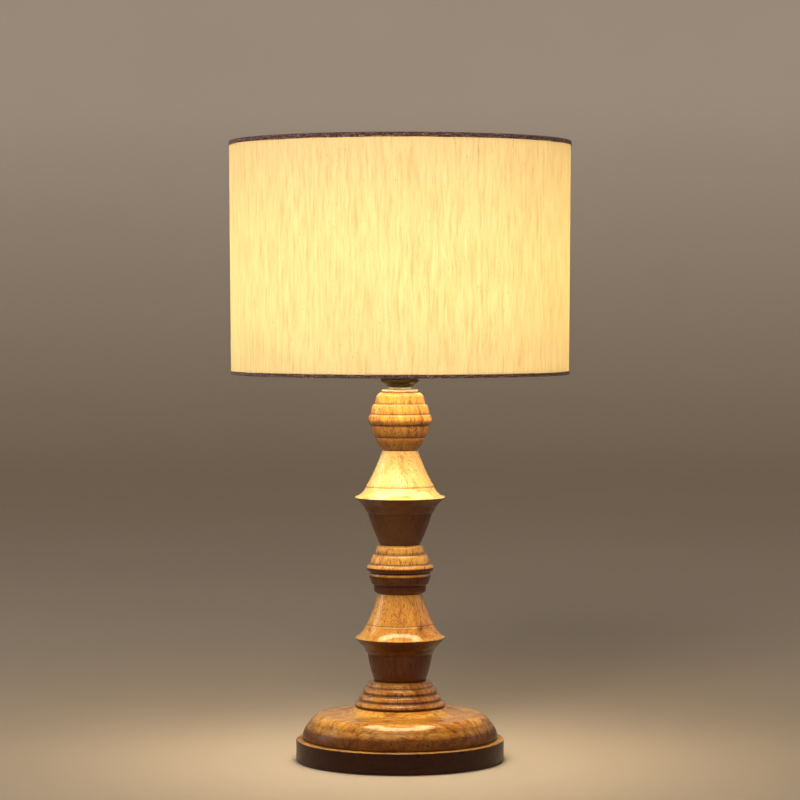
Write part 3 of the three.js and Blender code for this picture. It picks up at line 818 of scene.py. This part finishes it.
def make_bulb():
    nickel = metal("cap_nickel", (0.72, 0.70, 0.66), 0.28)
    foot, top = 301.6, 324.6
    crest, swing, wall = 13.05, 0.75, 0.35
    pairs = rolled_thread(foot + 2.8, top - 1.6, swing, CAP_THREAD_TURNS, 100)
    outside = [(8.6, foot), (12.2, foot + 2.3)]
    outside += [(crest - depth, z) for depth, z in pairs] + [(crest, top)]
    inside = [(crest - wall, top)]
    inside += [(crest - wall - depth, z) for depth, z in reversed(pairs)]
    inside += [(11.6, foot + 2.8), (8.6, foot + 0.6)]
    add_turned("bulb_cap", "nickel", outside + inside, nickel, body="bulb")

    black = coated("black_glass", (0.014, 0.012, 0.012), 0.12, 200.0, 0.00004)
    section = eased([(0.0, 300.2), (4.4, 300.2), (8.2, 301.5), (8.2, 303.0), (0.0, 303.0)], .3)
    add_turned("bulb_insulator", "black_glass", section, black, body="bulb_tip", closed=False)
    tin = metal("solder", (0.7, 0.69, 0.66), 0.35)
    section = [(0.0, 299.1), (1.2, 299.12), (2.4, 299.2), (3.1, 299.45), (3.35, 299.7),
               (3.35, 299.85), (0.0, 299.9)]
    add_turned("bulb_contact", "zinc_steel", section, tin, body="bulb_tip", segments=48,
               closed=False)
    make_bulb_glass()
    make_filament()


def make_bulb_glass():
    """A ball that runs down into its neck, hollow and open below."""
    neck_foot = 324.9
    opal = glowing("opal_glass", (1.0, 0.72, 0.36), 5.0, (0.93, 0.9, 0.84), 0.2)

    def wall(ball, neck):
        start = -math.acos((neck + 0.6) / ball)
        return [(neck, neck_foot), (neck, neck_foot + 0.9)] + [
            (max(0.0, ball * math.cos(angle)), BULB_CENTRE + ball * math.sin(angle))
            for angle in spaced(start, math.pi / 2, 40)]
    section = wall(BULB_RADIUS, 12.6) + wall(BULB_RADIUS - 0.9, 11.7)[::-1]
    glass = add_turned("bulb_glass", "opal_glass", section, opal, body="bulb")
    glass.visible_shadow = False


def make_filament():
    clear = coated("mount_glass", (0.75, 0.8, 0.78), 0.08, 200.0, 0.00003,
                   Transmission_Weight=0.8)
    foot = 325.0
    section = eased([(0.0, foot), (5.5, foot), (4.2, foot + 4), (2.6, foot + 6),
                     (2.6, foot + 13), (0.0, foot + 13)], 0.8)
    mount = add_turned("filament_mount", "clear_glass", section, clear, body="bulb",
                       segments=48, closed=False)
    steel = metal("support_wire", (0.6, 0.6, 0.58), 0.3)
    hot = glowing("filament_hot", (1.0, 0.55, 0.2), 30.0, (0.3, 0.28, 0.26), 0.4)
    made = [mount]
    for number, side in ((1, -1), (2, 1)):
        path = [(side * x * MM, 0.0, z * MM)
                for x, z in ((1.4, 338.3), (2.2, 339.4), (5, 342), (8.2, 344.7), (8.9, 345.6),
                             (9.0, 346.4))]
        vertices, faces = swept(path, 0.38 * MM, 10)
        made.append(add_piece(f"support_wire_{number}", "zinc_steel", vertices, faces, steel,
                              body="bulb"))
    turns, coil_radius, half, sag = 34, 0.34, 9, 10
    coil = []
    for t in spaced(0.0, 1.0, turns * 10):
        angle = FULL_TURN * turns * t
        coil.append(((-half + 2 * half * t) * MM, coil_radius * math.cos(angle) * MM,
                     (347 + sag * t * (1 - t) + coil_radius * math.sin(angle)) * MM))
    vertices, faces = swept(coil, 0.13 * MM, 6)
    made.append(add_piece("filament", "tungsten", vertices, faces, hot, body="bulb"))
    for piece in made:
        piece.visible_shadow = False


# ---- shade


def shade_radius(height):
    """Outer radius of the shade at a height above its lower edge."""
    return SHADE_BOTTOM + (SHADE_TOP - SHADE_BOTTOM) * height / SHADE_HEIGHT


def add_cloth(node, slot, material, columns, along, radius, place, closing=0.0,
              flipped=False):
    """A wall of cloth round the shade that stands for a CAD node, with UVs in metres.

    along is each row's distance along the cloth, and the cloth goes once round the radius.
    place(column, row) gives a radius and a height above the shade's foot. closing is the
    distance from the last row back to the first, where the cloth closes on itself.
    """
    around = FULL_TURN * radius * MM
    vertices, faces, uvs = [], [], []
    for row in range(len(along)):
        for column in range(columns):
            r, height = place(column, row)
            angle = FULL_TURN * column / columns + SEAM_ANGLE
            vertices.append(on_circle(r, angle, SHADE_FOOT + height))
    ends = list(along) + ([along[-1] + closing] if closing else [])
    for row, (down, up) in enumerate(zip(ends, ends[1:])):
        low, high = row * columns, (row + 1) % len(along) * columns
        for column in range(columns):
            after = (column + 1) % columns
            left, right = around * column / columns, around * (column + 1) / columns
            corners = [(low + column, (left, down * MM)), (low + after, (right, down * MM)),
                       (high + after, (right, up * MM)), (high + column, (left, up * MM))]
            if flipped:
                corners.reverse()
            faces.append(tuple(vertex for vertex, _ in corners))
            uvs += [uv for _, uv in corners]
    piece = add_piece(node, slot, vertices, faces, material, body="shade")
    layer = piece.data.uv_layers.new(name="cloth")
    layer.data.foreach_set("uv", np.array(uvs, np.float32).ravel())
    return piece


def slub_relief(columns, rows, seed):
    """Long upright thick and thin places in the cloth, from -1 to 1."""
    random = np.random.default_rng(seed)
    fine = blurred(random.standard_normal((rows, columns)).T, 0.7).T
    padded = np.vstack([np.zeros((1, columns)), np.cumsum(fine, axis=0)])
    window = 14                   # rows that a slub runs over
    low = np.maximum(np.arange(rows) - window, 0)
    streaks = padded[1:] - padded[low]
    return streaks / np.abs(streaks).max()


def make_fabric():
    short, depth, swing, lap_lift = 0.9, 0.62, 0.12, 0.3
    heights = spaced(short, SHADE_HEIGHT - short, 57)
    relief = slub_relief(FABRIC_COLUMNS, len(heights), 11)

    def place(column, row):
        lift = lap_lift if column < FABRIC_LAP else 0.0
        sunk = depth - swing * relief[row, column] - lift
        return shade_radius(heights[row]) - sunk, heights[row]
    return add_cloth("shade_fabric", "shade_cotton", fabric_material(), FABRIC_COLUMNS,
                     heights, SHADE_BOTTOM, place)


def fabric_material():
    """Slubbed cotton that the bulb shines through."""
    s = Shader("slub_cotton")
    drift = s.noise(s.mapped(s.cloth, scale=(70, 34, 1)), 1.0, 2.0, out=1)
    cloth = s.wandering(s.cloth, drift, (0.0042, 0.0, 0.0))
    threads = s.stretched(cloth, (1200, 60, 1), 2.5, 0.6)
    slubs = s.stretched(cloth, (430, 30, 1), 2.0, location=(7, 3, 0))
    bands = s.stretched(cloth, (130, 12, 1), 2.0, location=(3, 9, 0))
    flecks = s.stretched(cloth, (1100, 240, 1), 1.0, location=(1, 5, 0))
    flecks = s.span(flecks, 0.71, 0.79)
    weft = s.node("TexWave", {
        "Vector": cloth, "Scale": 420.0, "Distortion": 2.5, "Detail": 2.0,
        "Detail Scale": 3.0}, wave_type="BANDS", bands_direction="Y").outputs[0]

    thick = s.total((s.span(threads, 0.3, 0.72), 0.62), (s.span(slubs, 0.42, 0.75), 0.6),
                    (s.span(bands, 0.35, 0.75), 0.22))
    thick = s.math("MULTIPLY", thick, 0.75, clamp=True)
    through = s.ramp(thick, [(0.0, (0.90, 0.81, 0.50)), (0.3, (0.81, 0.69, 0.38)),
                             (0.65, (0.70, 0.53, 0.24)), (1.0, (0.50, 0.34, 0.11))])
    through = s.mix(s.times(flecks, 0.55), through, (0.45, 0.22, 0.06))
    face = s.ramp(thick, [(0.0, (0.86, 0.82, 0.68)), (0.5, (0.79, 0.72, 0.54)),
                          (1.0, (0.64, 0.55, 0.37))])
    face = s.mix(s.times(flecks, 0.6), face, (0.3, 0.18, 0.09))
    normal = s.bump(s.total(thick, (weft, 0.25)), 0.0004, 0.6)
    solid = s.principled(Base_Color=face, Roughness=0.85, Sheen_Weight=0.25,
                         Sheen_Roughness=0.4, Normal=normal)
    return s.finish_lit_through(solid, through, 0.3, Normal=normal)


def make_liner():
    s = Shader("styrene_film")
    cloud = s.noise(s.place, 40.0, 3.0)
    skin = s.noise(s.place, 700.0, 2.0)
    tint = s.mix(s.span(cloud, 0.3, 0.7), (0.60, 0.55, 0.47), (0.54, 0.49, 0.41))
    through = s.mix(s.span(cloud, 0.3, 0.7), (0.92, 0.88, 0.80), (0.86, 0.81, 0.72))
    solid = s.principled(Base_Color=tint, Roughness=0.45, Normal=s.bump(skin, 0.00003, 0.5))
    material = s.finish_lit_through(solid, through, 0.72)
    depth, short = 1.45, 1.0
    heights = spaced(short, SHADE_HEIGHT - short, 12)
    liner = add_cloth("shade_liner", "styrene", material, 240, heights, SHADE_BOTTOM,
                      lambda column, row: (shade_radius(heights[row]) - depth, heights[row]))
    liner.visible_shadow = False


def hem_material():
    """A folded strip of the same cloth: coarser, denser and darker."""
    s = Shader("hem_cotton")
    weave = s.stretched(s.cloth, (900, 700, 1), 2.0, 0.6)
    slubs = s.stretched(s.cloth, (160, 900, 1), 3.0, 0.6)
    tone = s.total((weave, 0.6), (slubs, 0.5))
    face = s.ramp(s.span(tone, 0.35, 0.75), [
        (0.0, (0.03, 0.012, 0.014)), (0.5, (0.16, 0.085, 0.08)), (1.0, (0.74, 0.58, 0.56))])
    through = s.ramp(tone, [(0.0, (0.25, 0.08, 0.02)), (1.0, (0.6, 0.26, 0.07))])
    normal = s.bump(tone, 0.0005, 0.8)
    solid = s.principled(Base_Color=face, Roughness=0.9, Sheen_Weight=0.2,
                         Sheen_Roughness=0.4, Normal=normal)
    return s.finish_lit_through(solid, through, 0.12)


def make_hem(node, at_top, material):
    """Cloth folded over a wire ring: a face outside, a web over the edge and a fold inside."""
    face_height = 3.4 if at_top else 2.6
    cloth = 0.4
    edge = SHADE_TOP if at_top else SHADE_BOTTOM
    lap = edge - FOLD_DEPTH
    outside = outline([(lap - 0.75, 2.2), (lap - 0.75, 0.9, .41), (lap + 0.1, 0.05),
                       (edge - 0.9, 0.0, .41), (edge - 0.04, 0.9), (edge - 0.04, face_height)],
                      step=0.5)
    inside = outline([(edge - cloth, face_height), (edge - cloth, 1.1, -.41),
                      (edge - 1.1, cloth), (lap + 0.3, cloth, -.41), (lap - 0.3, 1.0),
                      (lap - 0.3, 2.2)], step=0.5)
    loop = outside + inside
    random = np.random.default_rng(5 if at_top else 6)
    columns = 480

    def uneven(sigma, swing):
        values = blurred(random.standard_normal((columns, 1)), sigma)[:, 0]
        return swing * values / np.abs(values).max()
    wander = uneven(3.0, 0.22)
    pucker = uneven(1.2, 0.07)

    def place(column, row):
        r, h = loop[row]
        near_end = max(0.0, (h - 0.6 * face_height) / (0.4 * face_height))
        lifted = h + wander[column] * near_end
        return r - 0.08 + pucker[column], SHADE_HEIGHT - lifted if at_top else lifted
    lengths = np.concatenate([[0], np.cumsum(np.hypot(*np.diff(np.array(loop), axis=0).T))])
    return add_cloth(node, "hem_cotton", material, columns, lengths, edge, place,
                     closing=cloth, flipped=at_top)


def make_shade_frame():
    paint = coated("white_paint", (0.82, 0.80, 0.75), 0.35, 600.0, 0.00006)
    for node, edge, height in (("bottom_wire_ring", SHADE_BOTTOM, WIRE_INSET),
                               ("top_wire_ring", SHADE_TOP, SHADE_HEIGHT - WIRE_INSET)):
        centre = edge - WIRE_DEPTH
        section = [(centre + WIRE_RADIUS * math.cos(a),
                    SHADE_FOOT + height + WIRE_RADIUS * math.sin(a))
                   for a in angles_round(16)]
        add_turned(node, "white_wire", section, paint, body="shade", segments=200)
    loop = [(20.2, 303.8), (28.0, 303.8), (28.0, 305.3), (20.2, 305.3)]
    add_turned("fitter_ring", "white_wire", faired(loop, 0.3, 0.05, longest=1.5), paint,
               body="shade", segments=128)
    for spoke, angle in enumerate(angles_round(3)):
        make_spoke(spoke + 1, math.pi / 2 + angle, paint)


def make_spoke(number, angle, material):
    """A wire from the fitter ring down to the lower wire ring, with a weld at each end."""
    inner, outer = (28.6, 304.55), (120.0, 291.9)
    heading = Vector((math.cos(angle), math.sin(angle), 0))

    def at(share):
        r = inner[0] + (outer[0] - inner[0]) * share
        z = inner[1] + (outer[1] - inner[1]) * share
        return heading * (r * MM) + Vector((0, 0, z * MM))
    shares = [0.0, 0.03, 0.06] + [k / 10 for k in range(1, 10)] + [0.95, 0.975, 0.99]
    bars = [swept([at(share) for share in shares], SPOKE_RADIUS * MM, 14)]
    for share, radius in ((0.004, 1.45), (0.992, 1.5)):
        weld = [at(share) + heading * along * MM for along in (-0.8, -0.3, 0.3, 0.8)]
        bars.append(swept(weld, radius * MM, 14))
    vertices, faces = merged(bars)
    add_piece(f"spoke_{number}", "white_wire", vertices, faces, material, body="shade")


def make_shade():
    make_shade_frame()
    make_liner()
    fabric = make_fabric()
    hem_cloth = hem_material()
    hems = [make_hem("bottom_hem", False, hem_cloth), make_hem("top_hem", True, hem_cloth)]


# ---- stage, lights and camera


def make_floor():
    """A pale floor that curves up into a pale wall all round, far from the lamp."""
    s = Shader("pale_floor")
    cloud = s.noise(s.place, 3.0, 3.0)
    tint = s.mix(cloud, (0.56, 0.48, 0.39), (0.59, 0.51, 0.42))
    height = s.node("SeparateXYZ", {0: s.place}).outputs["Z"]
    glow = s.span(height, 0.0, 0.8, 0.0, 0.3)
    material = s.finish(s.principled(Base_Color=tint, Roughness=0.7, Emission_Color=tint,
                                     Emission_Strength=glow))
    flat, rise, wall = 3400, 1400, 5000
    section = [(r, 0.0) for r in spaced(0.0, flat, 6)]
    section += [(flat + rise * math.sin(a), rise * (1 - math.cos(a)))
                for a in spaced(0.0, math.pi / 2, 14)[1:]]
    section.append((flat + rise, wall))
    vertices, faces, _ = revolved(section, 96, closed=False)
    mesh = new_mesh("floor", vertices, faces)
    mesh.shade_smooth()
    mesh.materials.append(material)
    floor = new_object("floor", mesh)


def add_light(name, kind, energy, colour, place, aim=None, glossy=True, **settings):
    """A light that the camera doesn't see, and reflections only if it is glossy."""
    light = bpy.data.lights.new(name, kind)
    light.energy = energy
    light.color = colour
    for key, value in settings.items():
        setattr(light, key, value)
    lamp = new_object(name, light)
    lamp.location = place
    if aim is not None:
        heading = Vector(aim) - Vector(place)
        lamp.rotation_euler = heading.to_track_quat("-Z", "Y").to_euler()
    lamp.visible_camera = False
    lamp.visible_glossy = glossy


def make_lights():
    """The bulb's light, helped by lights in the drum, and soft boxes round the lamp."""
    add_light("bulb_light", "POINT", 1.05, (1.0, 0.80, 0.45), (0, 0, BULB_CENTRE * MM),
              shadow_soft_size=0.02)
    opening = dict(aim=(0, 0, 0), shape="DISK", size=0.236)
    add_light("drum_light", "AREA", 0.16, (1.0, 0.78, 0.5), (0, 0, 0.29), glossy=False,
              **opening)
    add_light("drum_gleam", "AREA", 0.31, (1.0, 0.80, 0.52), (0, 0, 0.2895),
              spread=math.radians(95), **opening)
    add_light("drum_fill", "POINT", 0.4, (1.0, 0.79, 0.46), (0, 0, 0.43),
              shadow_soft_size=0.03)
    target = (0, 0, 0.2)
    add_light("softbox_above", "AREA", 5.0, (1.0, 0.96, 0.9), (-0.5, -0.6, 2.4), target,
              shape="DISK", size=1.8)
    add_light("softbox_front", "AREA", 26.0, (1.0, 0.90, 0.76), (-0.5, -2.4, 1.5), target,
              glossy=False, shape="RECTANGLE", size=0.7, size_y=0.7)
    tall = dict(aim=target, shape="RECTANGLE", size=0.8, size_y=1.4)
    add_light("softbox_left", "AREA", 4.0, (0.86, 0.92, 1.0), (-2.0, 0.5, 0.9), **tall)
    add_light("softbox_right", "AREA", 1.2, (1.0, 0.92, 0.84), (2.0, 0.5, 0.8), **tall)
    world = bpy.data.worlds.new("studio")
    world.use_nodes = True
    background = world.node_tree.nodes["Background"]
    background.inputs["Color"].default_value = (1.0, 0.95, 0.9, 1.0)
    background.inputs["Strength"].default_value = 0.06
    bpy.context.scene.world = world


def make_camera():
    camera = bpy.data.cameras.new("camera")
    camera.sensor_width = 36.0
    camera.lens = CAMERA_LENS
    camera.clip_end = 60.0
    eye = new_object("camera", camera)
    eye.location = CAMERA_PLACE
    eye.rotation_euler = (math.radians(90 - CAMERA_TILT), 0, 0)
    bpy.context.scene.camera = eye
    bpy.context.scene.view_settings.view_transform = "Standard"


make_camera()
make_floor()
make_lights()
make_wood_pieces()
make_felt()
make_rod_fittings()
make_grommet()
make_holder()
make_shade_ring()
make_bulb()
make_shade()
